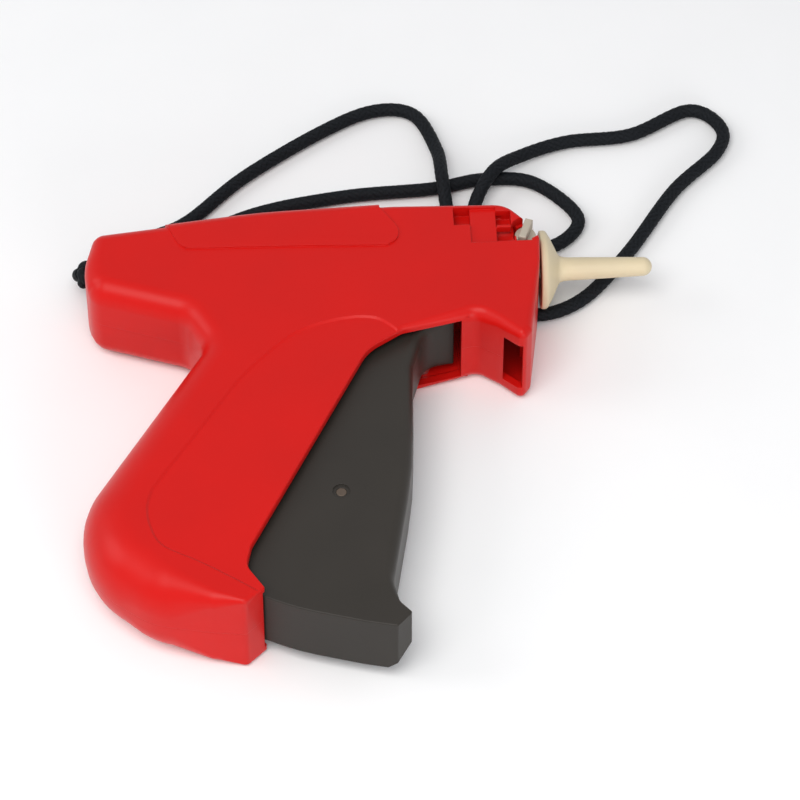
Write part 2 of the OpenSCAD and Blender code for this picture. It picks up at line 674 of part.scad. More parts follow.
// ---- Needle -----------------------------------------------------------------
base_x = track_x + clip_w + 2;
module needle_base() {
    color(WHITE) difference() {
        union() {
            translate([base_x, needle_y, axis_z]) rotate([0, 90, 0]) cylinder(r = base_r, h = nose_x - base_x);
            translate([nose_x, needle_y, axis_z]) rotate([0, 90, 0]) cylinder(r = base_r - 0.8, h = 3);
        }
        translate([base_x - 1, needle_y, axis_z]) rotate([0, 90, 0]) cylinder(r = needle_r, h = 20);
        // the notch for the lock knob's shaft
        disc(knob_at, knob_shaft_r + 0.25, 0, 40);
    }
}
module needle() {
    color(STEEL) translate([0, needle_y, axis_z]) difference() {
        translate([base_x, 0, 0]) rotate([0, 90, 0]) cylinder(r = needle_r, h = needle_tip_x - base_x);
        translate([base_x - 1, 0, 0]) rotate([0, 90, 0]) cylinder(r = needle_r - needle_wall, h = 60);
        // the slot that the fastener's thread runs in, and the slanted tip
        translate([base_x - 1, -0.35, 0]) cube([60, 0.7, 6]);
        translate([needle_tip_x, -needle_r - 1.2, -4]) rotate([0, 0, 60]) cube([8, 8, 8]);
    }
}
guard_x = nose_x + 0.3;
module needle_guard() {
    tube_x = 5;
    tip_r = guard_r - 0.5;
    length = guard_tip_x - guard_x;
    color(CREAM) translate([guard_x, needle_y, axis_z]) rotate([0, 90, 0]) difference() {
        rotate_extrude($fn = 72) polygon(concat(
            [[0, 0], [flange_r - 0.6, 0], [flange_r, 0.6], [flange_r, 1.2], [flange_r - 0.8, flange_t]],
            [[guard_r + 1.2, tube_x + 0.1], [guard_r + 0.3, tube_x + 0.9], [guard_r, tube_x + 2.4]],
            [for (a = [0:15:90]) [tip_r * cos(a), length - tip_r + tip_r * sin(a)]]));
        translate([0, 0, -1]) cylinder(r = base_r - 0.8 + 0.1, h = 4.4);
        translate([0, 0, -1]) cylinder(r = needle_r + 0.25, h = needle_tip_x - guard_x + 1.8);
    }
}

// ---- Lock knob --------------------------------------------------------------
knob_tilt = 20;
knob_bar_l = 7.2;
module lock_knob() {
    color(WARM_GREY) difference() {
        union() {
            disc(knob_at, knob_r, knob_z + 0.1, knob_h);
            translate([knob_at[0], knob_at[1], knob_z + knob_h]) rotate([0, 0, -knob_tilt])
                translate([-knob_bar_w / 2, -knob_bar_l / 2, 0]) cube([knob_bar_w, knob_bar_l, 2.2]);
            disc(knob_at, knob_shaft_r, axis_z - 5, knob_z - axis_z + 5.5);
        }
        // the flat that frees the needle's base when the knob is turned
        translate([knob_at[0] + knob_shaft_r - 0.5, knob_at[1] - 3, axis_z - 4]) cube([3, 6, 8]);
    }
}

// ---- Lanyard ----------------------------------------------------------------
module lanyard_pin() {
    color(STEEL) disc([lanyard_at[0] + knot_r + 2, lanyard_at[1]], 1.5, wall, body_t - 2 * wall);
}
module lanyard_knot() {
    color(BLACK) translate([lanyard_at[0], lanyard_at[1], mid_z]) sphere(r = knot_r, $fn = 32);
}
// The cord's route, from the knot round its two loops and back: [x, y, z] of its centre line.
lanyard_route = [
    [-82, 65, 12], [-83, 68, 8], [-81, 73, 4], [-75, 80, 2.3], [-64, 86, 2.3], [-52, 92, 2.3],
    [-35, 109, 2.3], [-12, 126, 2.3], [4, 134, 2.3], [16, 132, 2.3], [22, 117, 3.4], [23, 103, 6.7],
    [24, 92, 3.4], [25, 79, 2.3], [29, 66, 2.3], [38, 56, 2.3], [49, 52, 2.3], [62, 58, 2.3],
    [76, 75, 2.3], [91, 98, 2.3], [105, 113, 2.3], [107, 123, 2.3], [98, 130, 2.3], [80, 121, 2.3],
    [61, 119, 2.3], [47, 113, 3.4], [38, 104, 6.7], [32, 93, 3.4], [33, 82, 2.3], [44, 77, 2.3],
    [56, 79, 2.3], [62, 89, 2.3], [50, 103, 2.3], [35, 105, 2.3], [20, 102, 2.3], [-6, 100, 2.3],
    [-33, 94, 2.3], [-58, 81, 2.3], [-73, 75, 2.3], [-80, 69, 6]
];
function smooth_point(p, i, t) =
    let (n = len(p), a = p[max(i - 1, 0)], b = p[i], c = p[min(i + 1, n - 1)], d = p[min(i + 2, n - 1)])
    0.5 * (2 * b + (c - a) * t + (2 * a - 5 * b + 4 * c - d) * t * t + (3 * b - a - 3 * c + d) * t * t * t);
module lanyard_cord() {
    n = len(lanyard_route);
    path = concat([for (i = [0:n - 2]) each [smooth_point(lanyard_route, i, 0), smooth_point(lanyard_route, i, 0.5)]],
        [lanyard_route[n - 1]]);
    color(BLACK) tube(path, cord_r, 8, [0, 0, 1]);
}

right_shell();
left_shell();
shell_screws();
trigger();
trigger_pin();
trigger_pivot_pin();
drive_lever();
lever_bracket();
fulcrum_pin();
return_spring();
ejector_slide();
ejector_rod();
slide_pin();
slide_rails();
feed_wheel();
feed_axle();
check_pawl();
pawl_pin();
pawl_spring();
clip_track();
cutter_blade();
needle();
needle_base();
needle_guard();
lock_knob();
lanyard_pin();
lanyard_knot();
lanyard_cord();
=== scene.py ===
"""The looks of the garment tag attacher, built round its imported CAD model.

Shapes are drawn in millimetres. finish_mesh() and tube() turn them into metres.
"""

import math

import bmesh
import bpy
from mathutils import Matrix, Vector


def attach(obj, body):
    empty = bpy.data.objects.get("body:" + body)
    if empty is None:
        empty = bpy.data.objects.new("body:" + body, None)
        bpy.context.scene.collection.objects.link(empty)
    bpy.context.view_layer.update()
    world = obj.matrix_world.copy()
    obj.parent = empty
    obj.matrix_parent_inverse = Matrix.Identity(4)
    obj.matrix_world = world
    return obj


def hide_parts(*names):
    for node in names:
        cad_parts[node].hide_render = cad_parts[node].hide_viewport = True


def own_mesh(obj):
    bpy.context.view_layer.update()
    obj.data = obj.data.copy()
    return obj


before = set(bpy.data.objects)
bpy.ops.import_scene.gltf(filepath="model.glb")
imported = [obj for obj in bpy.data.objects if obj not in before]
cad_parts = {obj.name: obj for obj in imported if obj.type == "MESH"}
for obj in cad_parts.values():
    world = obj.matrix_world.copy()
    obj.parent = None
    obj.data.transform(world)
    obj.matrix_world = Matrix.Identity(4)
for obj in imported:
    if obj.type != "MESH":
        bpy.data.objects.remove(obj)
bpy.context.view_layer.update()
scene = bpy.context.scene

# ---- Places shared with the CAD part ----------------------------------------
BODY_T = 29.0               # the casing's thickness
MID = BODY_T / 2            # height of the parting plane, and of the needle's axis
WALL = 2.2
NOSE_X = 48.2               # the nose's front face
NEEDLE_Y = 58.3
NEEDLE_BORE_R = 3.05
PIVOT = (14.0, 33.0)        # the trigger swings about this
PIN = (-11.0, -27.0)        # the steel pin in the trigger
SEAT = (-58.5, -14.5)       # the return spring's end on the casing
SEAT_R = 4.0
ARC_R = 105.9               # the trigger's back edge, about the pivot
OPENING_X = 24.6            # front end of the opening that the trigger comes out of
TRACK_X = 36.2              # the slot for the clip of fasteners
CLIP_W = 5.2
CLIP_T = 18.0
KNOB = (44.4, 61.6)
KNOB_Z = 22.9               # floor under the knob
KNOB_H = 3.2
KNOB_R = 3.0
KNOB_WELL_R = 3.35
KNOB_SWEEP_R = 4.2          # room for the grip to turn in
SHAFT_R = 1.6
SHAFT_BORE_R = 1.65
SCREWS = [(-68, 54), (-40, 31.5), (-71, -37), (29.5, 66.2)]
SCREW_POST_R = 3.0
SCREW_BORE_R = 1.5
SCREW_HEAD_R = 2.7
SCREW_HEAD_Z = 6.5          # how far up the screw heads' counterbores reach
LANYARD = (-80.0, 62.0)     # the knot, at the barrel's rear
LANYARD_HOLE_R = 4.3
RELIEF_X = 23.8             # where the relief for the lanyard starts
CORD_RELIEF = 4.7           # the relief's height
CORD_R = 2.0
INTO_WALL = BODY_T - WALL + 0.6     # inner posts and ribs run this far up, into the wall that carries them

# [x, y, corner radius, edge rounding on the right, edge rounding on the left], clockwise
CASING = [
    (-77.6, 66.0, 4, 4, 4), (-30, 71.8, 150, 3.5, 3.5), (8, 72.8, 150, 2.5, 2.5),
    (39.2, 71.2, 8, 1.2, 2), (45.8, 63.6, 2, 1.2, 2), (NOSE_X, 59, 5, 1, 1),
    (NOSE_X - 0.5, 50, 30, 1, 1), (44.0, 25.0, 2, 2.4, 3), (41.4, 21.4, 2, 2.4, 3),
    (34.8, 27.2, 10, 3, 3.5), (29, 30.8, 4, 4, 4), (OPENING_X - 1, 29.6, 3, 3, 3),
    (7.7, 25.9, 3, 1.2, 1.2), (-2.0, 19.5, 14, 1.2, 1.2), (-35.6, -47.5, 8, 1.5, 1.5),
    (-37.0, -54.0, 5, 1.5, 1.5), (-32.4, -61.6, 0.6, 1.2, 1.2), (-37.8, -66.8, 2, 1.2, 1.2),
    (-46.5, -65.8, 20, 4, 4), (-62.5, -62.8, 22, 11, 11), (-78.5, -50.5, 25, 13, 13),
    (-82.6, -30, 25, 13, 13), (-46.8, 24.5, 6, 6.5, 6.5), (-52.5, 35.0, 6, 6.5, 6.5),
    (-78.6, 44.0, 6, 6.5, 6.5), (-81.2, 54, 20, 5, 5),
]


# ---- Plane geometry ---------------------------------------------------------
def unit(v):
    d = math.hypot(*v)
    return (v[0] / d, v[1] / d)


def turned(v, a):
    c, s = math.cos(a), math.sin(a)
    return (v[0] * c - v[1] * s, v[0] * s + v[1] * c)


def turn_at(a, b, c):
    """The turn at b on the way from a to c, positive where it is clockwise."""
    u = unit((b[0] - a[0], b[1] - a[1]))
    v = unit((c[0] - b[0], c[1] - b[1]))
    return math.atan2(u[1] * v[0] - u[0] * v[1], u[0] * v[0] + u[1] * v[1])


def inward(a, b):
    u = unit((b[0] - a[0], b[1] - a[1]))
    return (u[1], -u[0])


def inset_points(pts, dist):
    """Corners (x, y, radius) moved inwards by dist, one value a corner. The outline runs clockwise."""
    out = []
    n = len(pts)
    for i, p in enumerate(pts):
        a, c = pts[i - 1], pts[(i + 1) % n]
        m, k = inward(a, p), inward(p, c)
        f = 1 + m[0] * k[0] + m[1] * k[1]
        side = 1 if turn_at(a, p, c) > 0 else -1
        out.append((p[0] + (m[0] + k[0]) / f * dist[i], p[1] + (m[1] + k[1]) / f * dist[i],
                    max(p[2] - side * dist[i], 0.15)))
    return out


def corner_arc(a, b, c, r, steps):
    t = turn_at(a, b, c)
    side = 1 if t > 0 else -1
    u = unit((b[0] - a[0], b[1] - a[1]))
    reach = r * math.tan(abs(t) / 2)
    s = (b[0] - u[0] * reach, b[1] - u[1] * reach)
    m = inward(a, b)
    centre = (s[0] + m[0] * r * side, s[1] + m[1] * r * side)
    out = []
    for k in range(steps + 1):
        d = turned((s[0] - centre[0], s[1] - centre[1]), -t * k / steps)
        out.append((centre[0] + d[0], centre[1] + d[1]))
    return out


class Outline:
    """A rounded outline whose rings at any inset all have the same count of points."""

    def __init__(self, pts, step=5.0, reach=5.0):
        self.pts = pts
        n = len(pts)
        self.corner = [max(2, math.ceil(math.degrees(abs(turn_at(pts[i - 1], pts[i], pts[(i + 1) % n]))) / step))
                       for i in range(n)]
        self.edge = [max(1, int(math.dist(pts[i][:2], pts[(i + 1) % n][:2]) / reach)) for i in range(n)]

    def ring(self, dist, value):
        pts = inset_points(self.pts, dist)
        n = len(pts)
        arcs = [corner_arc(pts[i - 1], pts[i], pts[(i + 1) % n], pts[i][2], self.corner[i]) for i in range(n)]
        out = []
        for i in range(n):
            j = (i + 1) % n
            out += [(x, y, value[i]) for x, y in arcs[i]]
            last, nxt = arcs[i][-1], arcs[j][0]
            for k in range(1, self.edge[i]):
                f = k / self.edge[i]
                out.append((last[0] + (nxt[0] - last[0]) * f, last[1] + (nxt[1] - last[1]) * f,
                            value[i] + (value[j] - value[i]) * f))
        return out


def half_rings(outline, radii, height, steps, shift=0.0):
    """Rings from the middle plane up round the edge to the flat side, as (x, y, height above the middle)."""
    zero = [shift] * len(radii)
    rings = [[(x, y, 0.0) for x, y, _ in outline.ring(zero, zero)]]
    for k in range(steps + 1):
        a = math.pi / 2 * k / steps
        ring = outline.ring([shift + r * (1 - math.cos(a)) for r in radii], radii)
        rings.append([(x, y, height - r * (1 - math.sin(a))) for x, y, r in ring])
    return rings


def on_arc(x):
    """The point of the trigger's back edge at x."""
    return (x, PIVOT[1] - math.sqrt(ARC_R * ARC_R - (x - PIVOT[0]) ** 2))


def smooth_line(points, per):
    """A Catmull-Rom line through points, in two or three dimensions."""
    out = []
    n = len(points)
    for i in range(n - 1):
        a, b, c, d = (Vector(points[min(max(i + k, 0), n - 1)]) for k in (-1, 0, 1, 2))
        for k in range(per):
            t = k / per
            out.append(tuple(0.5 * (2 * b + (c - a) * t + (2 * a - 5 * b + 4 * c - d) * t * t
                                    + (3 * b - a - 3 * c + d) * t ** 3)))
    out.append(tuple(points[-1]))
    return out


def resample(path, step):
    """Points an even step apart along a path, with its own two ends."""
    out = [Vector(path[0])]
    left = step
    for a, b in zip(path, path[1:]):
        a, b = Vector(a), Vector(b)
        d = (b - a).length
        while d >= left:
            a = a + (b - a).normalized() * left
            out.append(a.copy())
            d = (b - a).length
            left = step
        left -= d
    out.append(Vector(path[-1]))
    return out


def lift(rings):
    """Rings about the middle plane, raised to its height."""
    return [[(x, y, z + MID) for x, y, z in r] for r in rings]


# ---- Mesh helpers -----------------------------------------------------------
def mesh_object(name, verts, faces):
    me = bpy.data.meshes.new(name)
    me.from_pydata([Vector(v) for v in verts], [], faces)
    o = bpy.data.objects.new(name, me)
    scene.collection.objects.link(o)
    bm = bmesh.new()
    bm.from_mesh(me)
    bmesh.ops.remove_doubles(bm, verts=bm.verts, dist=1e-5)
    bmesh.ops.recalc_face_normals(bm, faces=bm.faces)
    if bm.calc_volume(signed=True) < 0:
        bmesh.ops.reverse_faces(bm, faces=bm.faces)
    bm.to_mesh(me)
    bm.free()
    return o


def stack(name, rings):
    """A closed solid through rings of equal count, with a flat face at each end."""
    n = len(rings[0])
    verts = [p for r in rings for p in r]
    faces = []
    for i in range(len(rings) - 1):
        for j in range(n):
            k = (j + 1) % n
            faces.append((n * i + j, n * i + k, n * (i + 1) + k, n * (i + 1) + j))
    faces.append(tuple(range(n)))
    faces.append(tuple(range(n * (len(rings) - 1), n * len(rings))))
    return mesh_object(name, verts, faces)


def prism(poly, z0, z1, name="prism"):
    return stack(name, [[(x, y, z0) for x, y in poly], [(x, y, z1) for x, y in poly]])


def block(x0, y0, z0, x1, y1, z1, name="block"):
    return prism([(x0, y0), (x1, y0), (x1, y1), (x0, y1)], z0, z1, name)


def tapered(poly, z0, z1, grow):
    """A prism whose top outline lies outside its bottom one by grow. The outline runs clockwise."""
    n = len(poly)
    top = inset_points([(x, y, 1) for x, y in poly], [-grow] * n)
    return stack("tapered", [[(x, y, z0) for x, y in poly], [(p[0], p[1], z1) for p in top]])


def revolve(profile, n=64, name="revolve"):
    """A solid of revolution about Z from (radius, z) pairs; its ends lie on the axis."""
    rings = [[(r * math.cos(2 * math.pi * k / n), r * math.sin(2 * math.pi * k / n), z) for k in range(n)]
             for r, z in profile]
    return stack(name, rings)


def cylinder(x, y, z0, z1, r, n=64):
    o = revolve([(r, z0), (r, z1)], n, "cylinder")
    o.data.transform(Matrix.Translation((x, y, 0)))
    return o


def along_x(o, x, y=NEEDLE_Y, z=MID):
    """Lays a solid made about Z along +X, with its zero at x."""
    o.data.transform(Matrix.Translation((x, y, z)) @ Matrix.Rotation(math.pi / 2, 4, "Y"))
    return o


def cylinder_x(x0, x1, y, z, r, n=64):
    return along_x(revolve([(r, 0), (r, x1 - x0)], n, "cylinder"), x0, y, z)


def boolean(obj, other, op="DIFFERENCE"):
    """Joins or cuts with the manifold solver, or the exact one where that refuses a mesh. other is used up."""
    for solver in ("MANIFOLD", "EXACT"):
        mod = obj.modifiers.new("b", "BOOLEAN")
        mod.operation = op
        mod.solver = solver
        mod.object = other
        made = bpy.data.meshes.new_from_object(obj.evaluated_get(bpy.context.evaluated_depsgraph_get()))
        obj.modifiers.clear()
        if len(made.polygons) and len(made.vertices) != len(obj.data.vertices):
            break
    old = obj.data
    obj.data = made
    bpy.data.meshes.remove(old)
    bpy.data.objects.remove(other)
    return obj


def cut(obj, *others):
    for o in others:
        boolean(obj, o)


def add(obj, *others):
    for o in others:
        boolean(obj, o, "UNION")


def to_side(o, right):
    """Shapes drawn for the right half, mirrored where they belong to the left one."""
    if not right:
        bm = bmesh.new()
        bm.from_mesh(o.data)
        for v in bm.verts:
            v.co.z = BODY_T - v.co.z
        bmesh.ops.reverse_faces(bm, faces=bm.faces)
        bm.to_mesh(o.data)
        bm.free()
    return o


def finish_mesh(obj, angle=28.0):
    """Millimetres to metres, smooth shading, with sharp edges kept."""
    obj.data.transform(Matrix.Scale(0.001, 4))
    bm = bmesh.new()
    bm.from_mesh(obj.data)
    bmesh.ops.dissolve_degenerate(bm, dist=1e-7, edges=bm.edges)
    for f in bm.faces:
        f.smooth = True
    for e in bm.edges:
        e.smooth = len(e.link_faces) == 2 and e.calc_face_angle(0) < math.radians(angle)
    bm.to_mesh(obj.data)
    bm.free()
    mod = obj.modifiers.new("normals", "WEIGHTED_NORMAL")
    mod.keep_sharp = True
    mod.weight = 90
    return obj


def place(obj, body, slot_name, material, *nodes):
    """Puts a finished piece on its body, with its material, in the stead of its CAD nodes; slot_name is not used."""
    obj.data.materials.clear()
    obj.data.materials.append(material)
    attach(obj, body)
    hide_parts(*nodes)
    return obj


# ---- Materials --------------------------------------------------------------
def node_material(name):
    m = bpy.data.materials.new(name)
    m.use_nodes = True
    nt = m.node_tree
    return m, nt, nt.nodes["Principled BSDF"]


def plastic(name, colour, rough, grain=0.02, grain_size=900.0, bevel=0.25, spread=0.04, specular=0.5):
    """Moulded plastic: fine grain, slow changes of gloss, faint changes of colour, and softened edges.

    grain is the bump's height and bevel the edges' radius, both in millimetres.
    """
    m, nt, bsdf = node_material(name)
    new, link = nt.nodes.new, nt.links.new
    coord = new("ShaderNodeTexCoord")
    slow = new("ShaderNodeTexNoise")
    slow.inputs["Scale"].default_value = 45.0
    slow.inputs["Detail"].default_value = 4.0
    link(coord.outputs["Object"], slow.inputs["Vector"])
    ramp = new("ShaderNodeValToRGB")
    low = [c * (1 - spread * 2) for c in colour]
    ramp.color_ramp.elements[0].position = 0.3
    ramp.color_ramp.elements[0].color = (*low, 1)
    ramp.color_ramp.elements[1].position = 0.7
    ramp.color_ramp.elements[1].color = (*[min(1, c * (1 + spread)) for c in colour], 1)
    link(slow.outputs["Fac"], ramp.inputs["Fac"])
    link(ramp.outputs["Color"], bsdf.inputs["Base Color"])
    gloss = new("ShaderNodeMapRange")
    gloss.inputs["To Min"].default_value = rough - 0.05
    gloss.inputs["To Max"].default_value = rough + 0.07
    link(slow.outputs["Fac"], gloss.inputs["Value"])
    link(gloss.outputs["Result"], bsdf.inputs["Roughness"])
    fine = new("ShaderNodeTexNoise")
    fine.inputs["Scale"].default_value = grain_size
    fine.inputs["Detail"].default_value = 3.0
    link(coord.outputs["Object"], fine.inputs["Vector"])
    bump = new("ShaderNodeBump")
    bump.inputs["Strength"].default_value = 1.0
    bump.inputs["Distance"].default_value = grain * 0.001
    link(fine.outputs["Fac"], bump.inputs["Height"])
    if bevel:
        edge = new("ShaderNodeBevel")
        edge.samples = 6
        edge.inputs["Radius"].default_value = bevel * 0.001
        link(edge.outputs["Normal"], bump.inputs["Normal"])
    link(bump.outputs["Normal"], bsdf.inputs["Normal"])
    bsdf.inputs["Specular IOR Level"].default_value = specular
    return m


def metal(name, colour, rough):
    """Drawn steel with fine lines and small stains."""
    m, nt, bsdf = node_material(name)
    new, link = nt.nodes.new, nt.links.new
    coord = new("ShaderNodeTexCoord")
    scale = new("ShaderNodeMapping")
    scale.inputs["Scale"].default_value = (1, 1, 30)
    link(coord.outputs["Object"], scale.inputs["Vector"])
    lines = new("ShaderNodeTexNoise")
    lines.inputs["Scale"].default_value = 400.0
    lines.inputs["Detail"].default_value = 5.0
    link(scale.outputs["Vector"], lines.inputs["Vector"])
    gloss = new("ShaderNodeMapRange")
    gloss.inputs["To Min"].default_value = rough - 0.08
    gloss.inputs["To Max"].default_value = rough + 0.15
    link(lines.outputs["Fac"], gloss.inputs["Value"])
    link(gloss.outputs["Result"], bsdf.inputs["Roughness"])
    ramp = new("ShaderNodeValToRGB")
    ramp.color_ramp.elements[0].color = (*[c * 0.75 for c in colour], 1)
    ramp.color_ramp.elements[1].color = (*colour, 1)
    link(lines.outputs["Fac"], ramp.inputs["Fac"])
    link(ramp.outputs["Color"], bsdf.inputs["Base Color"])
    bump = new("ShaderNodeBump")
    bump.inputs["Distance"].default_value = 0.00001
    link(lines.outputs["Fac"], bump.inputs["Height"])
    link(bump.outputs["Normal"], bsdf.inputs["Normal"])
    bsdf.inputs["Metallic"].default_value = 1.0
    return m


def braid(name, colour, light):
    """Plaited cord: the mesh's own "strand" attribute paints a highlight on the tops of its strands, in the light
    colour.
    """
    m, nt, bsdf = node_material(name)
    new, link = nt.nodes.new, nt.links.new
    # painted highlight: the light colour goes on the strand tops, in fine specks
    attr = new("ShaderNodeAttribute")
    attr.attribute_name = "strand"
    noise = new("ShaderNodeTexNoise")
    noise.inputs["Scale"].default_value = 2500.0
    coord = new("ShaderNodeTexCoord")
    link(coord.outputs["Object"], noise.inputs["Vector"])
    mix = new("ShaderNodeMix")
    mix.data_type = "RGBA"
    mix.inputs["A"].default_value = (*colour, 1)
    mix.inputs["B"].default_value = (*light, 1)
    mult = new("ShaderNodeMath")
    mult.operation = "MULTIPLY"
    link(attr.outputs["Fac"], mult.inputs[0])
    link(noise.outputs["Fac"], mult.inputs[1])
    link(mult.outputs["Value"], mix.inputs["Factor"])
    link(mix.outputs["Result"], bsdf.inputs["Base Color"])
    bump = new("ShaderNodeBump")
    bump.inputs["Distance"].default_value = 0.00006
    link(noise.outputs["Fac"], bump.inputs["Height"])
    link(bump.outputs["Normal"], bsdf.inputs["Normal"])
    bsdf.inputs["Roughness"].default_value = 0.62
    bsdf.inputs["Specular IOR Level"].default_value = 0.1
    return m


RED = plastic("red casing plastic", (0.60, 0.0065, 0.0045), 0.34,
              grain=0.012, bevel=0.3, spread=0.02, specular=0.2)
GREY = plastic("dark grey trigger plastic", (0.026, 0.022, 0.018), 0.40,
               grain=0.014, bevel=0.3, spread=0.05, specular=0.25)
WHITE = plastic("natural acetal", (0.74, 0.73, 0.68), 0.4, grain=0.01, bevel=0.12)
CREAM = plastic("cream guard plastic", (0.70, 0.59, 0.39), 0.42, grain=0.012, bevel=0.2, spread=0.03)
WARM = plastic("warm grey knob plastic", (0.47, 0.41, 0.33), 0.42, grain=0.012, bevel=0.2, spread=0.04)
STEEL = metal("drawn steel", (0.55, 0.54, 0.52), 0.32)
PIN_STEEL = metal("dull pin steel", (0.13, 0.10, 0.08), 0.45)
# the second colour is the painted highlight on the strand tops
BRAID = braid("braided black cord", (0.001, 0.0015, 0.002), (0.018, 0.021, 0.026))

# ---- Camera, lights and floor -----------------------------------------------
AZ, EL = math.radians(-2.6), math.radians(50.5)
DIST = 1.16667              # metres from the target
PIXELS = 800
FOCAL = 4200.0              # focal length in pixels
SENSOR = 36.0
TARGET = Vector((0.0066, 0.0121, 0.0145))
back = Vector((math.sin(AZ) * math.cos(EL), -math.cos(AZ) * math.cos(EL), math.sin(EL)))
cam = bpy.data.objects.new("camera", bpy.data.cameras.new("camera"))
scene.collection.objects.link(cam)
cam.location = TARGET + back * DIST
cam.rotation_euler = back.to_track_quat("Z", "Y").to_euler()
cam.data.sensor_width = SENSOR
cam.data.lens = SENSOR * FOCAL / PIXELS
cam.data.clip_start, cam.data.clip_end = 0.01, 20.0
scene.camera = cam
scene.render.resolution_x = scene.render.resolution_y = PIXELS


def area_light(name, at, size, power, colour=(1, 1, 1)):
    """A lamp at a place in metres that faces the tool."""
    data = bpy.data.lights.new(name, "AREA")
    data.shape = "RECTANGLE"
    data.size, data.size_y = size
    data.energy = power
    data.color = colour
    o = bpy.data.objects.new(name, data)
    scene.collection.objects.link(o)
    o.location = at
    o.rotation_euler = (Vector(at) - TARGET).to_track_quat("Z", "Y").to_euler()


area_light("key", (-0.2, -0.45, 1.0), (0.8, 0.6), 7.7, (1.0, 0.99, 0.97))
area_light("side", (-0.9, 0.1, 0.6), (0.5, 0.5), 2.2)
area_light("front", (0.35, -0.9, 0.35), (0.5, 0.4), 2.4)

floor = mesh_object("floor", [(-3, -3, 0), (3, -3, 0), (3, 3, 0), (-3, 3, 0)], [(0, 1, 2, 3)])
floor.location.z = -0.0002      # just under the tool, so that the two don't share a face
floor.data.materials.append(
    plastic("white paper", (0.97, 0.97, 0.97), 0.9, grain=0.02, grain_size=300, bevel=0, spread=0.004))


def white_world():
    """A plain soft light that the camera, and clear or shiny surfaces, see as white."""
    world = bpy.data.worlds.new("world")
    scene.world = world
    world.use_nodes = True
    tree = world.node_tree
    tree.nodes.clear()
    new, link = tree.nodes.new, tree.links.new
    out = new("ShaderNodeOutputWorld")
    light = new("ShaderNodeBackground")
    light.inputs["Color"].default_value = (0.93, 0.95, 1.0, 1)
    light.inputs["Strength"].default_value = 0.42
    seen = new("ShaderNodeBackground")
    seen.inputs["Color"].default_value = (1, 1, 1, 1)
    seen.inputs["Strength"].default_value = 1.0
    path = new("ShaderNodeLightPath")
    mix = new("ShaderNodeMixShader")
    any_ray = path.outputs["Is Camera Ray"]
    for ray in ("Is Glossy Ray", "Is Transmission Ray"):
        either = new("ShaderNodeMath")
        either.operation = "MAXIMUM"
        link(any_ray, either.inputs[0])
        link(path.outputs[ray], either.inputs[1])
        any_ray = either.outputs["Value"]
    link(any_ray, mix.inputs["Fac"])
    link(light.outputs["Background"], mix.inputs[1])
    link(seen.outputs["Background"], mix.inputs[2])
    link(mix.outputs["Shader"], out.inputs["Surface"])


white_world()
scene.view_settings.view_transform = "Standard"
scene.view_settings.look = "None"

# ---- Casing -----------------------------------------------------------------
OPENING_GAP = 0.3           # between the trigger's back edge and the opening's


def opening_cutter():
    """The hollow that the trigger swings in, with its back edge round the pivot."""
    a0, a1 = (math.atan2(on_arc(x)[1] - PIVOT[1], x - PIVOT[0]) for x in (-50, 20))
    r = ARC_R + OPENING_GAP
    arc = [(PIVOT[0] + r * math.cos(a0 + (a1 - a0) * k / 60), PIVOT[1] + r * math.sin(a0 + (a1 - a0) * k / 60))
           for k in range(61)]
    rest = [(OPENING_X, 0), (OPENING_X, 42), (-20, 42), (-44, 0), (-56, -40)]
    return prism(arc + rest, WALL + 0.3, BODY_T - WALL - 0.3)


# the edge of the shallow step round the handle's panel, from the trigger round to the handle's foot
HANDLE_LINE = [
    (7.1, 24.2), (4.5, 27.2), (0.5, 30.0), (-5.1, 30.6), (-12.1, 29.4), (-20.5, 26.2), (-28.4, 19.6),
    (-37.5, 9.3), (-48.7, -7.9), (-59.7, -24.8), (-61.9, -28.8), (-63.0, -34.9), (-61.7, -41.7),
    (-58.6, -46.9), (-49.4, -52.3), (-40.2, -58.4), (-34.8, -62.3),
]
# the lower edge of the raised panel on the barrel, from the rear to the front
PANEL = [
    (-57.6, 69.0), (-56.5, 66.2), (-55.4, 63.4), (-54.2, 60.8), (-53.1, 59.2), (-51.6, 58.2),
    (-48.6, 57.9), (-20, 57.5), (3.0, 56.8), (5.6, 57.2), (7.4, 58.4), (8.4, 60.7), (8.1, 63.4),
    (6.1, 66.9), (3.4, 71.0),
]
PANEL_RISE = 0.55
# recesses in the top of the nose: [x0, y0, x1, y1, depth]
NOSE_RECESSES = [
    (24.2, 63.6, 28.9, 70.1, 3.7), (28.8, 56.8, 36.3, 69.9, 0.9),
    (36.2, 63, 40.4, 68.4, 3.8), (36.2, 57, 41.1, 62.2, 3),
]


def hollow_blank(right):
    """Half the casing as a rounded shell, with its inner posts and ribs."""
    radii = [p[3 if right else 4] for p in CASING]
    body = to_side(stack("right_shell_look" if right else "left_shell_look",
                         lift(half_rings(Outline(CASING), radii, MID, 8))), right)
    inner = [max(r - WALL, 0.4) for r in radii]
    hollow = half_rings(Outline(CASING, 12, 20), inner, MID - WALL, 4, WALL)
    below = [(x, y, -1) for x, y, z in hollow[0]]       # the cutter starts past the parting plane
    cut(body, to_side(stack("cavity", lift([below] + hollow)), right))
    for x, y in SCREWS:
        add(body, to_side(cylinder(x, y, MID, INTO_WALL, SCREW_POST_R, 32), right))
    add(body, to_side(cylinder(*SEAT, MID, INTO_WALL, SEAT_R, 32), right))
    add(body, to_side(block(OPENING_X - 0.4, 30.6, MID, OPENING_X + 2, 39.5, INTO_WALL), right))
    add(body, to_side(block(43.4, 52, MID, 46.8, 64, INTO_WALL), right))
    return body


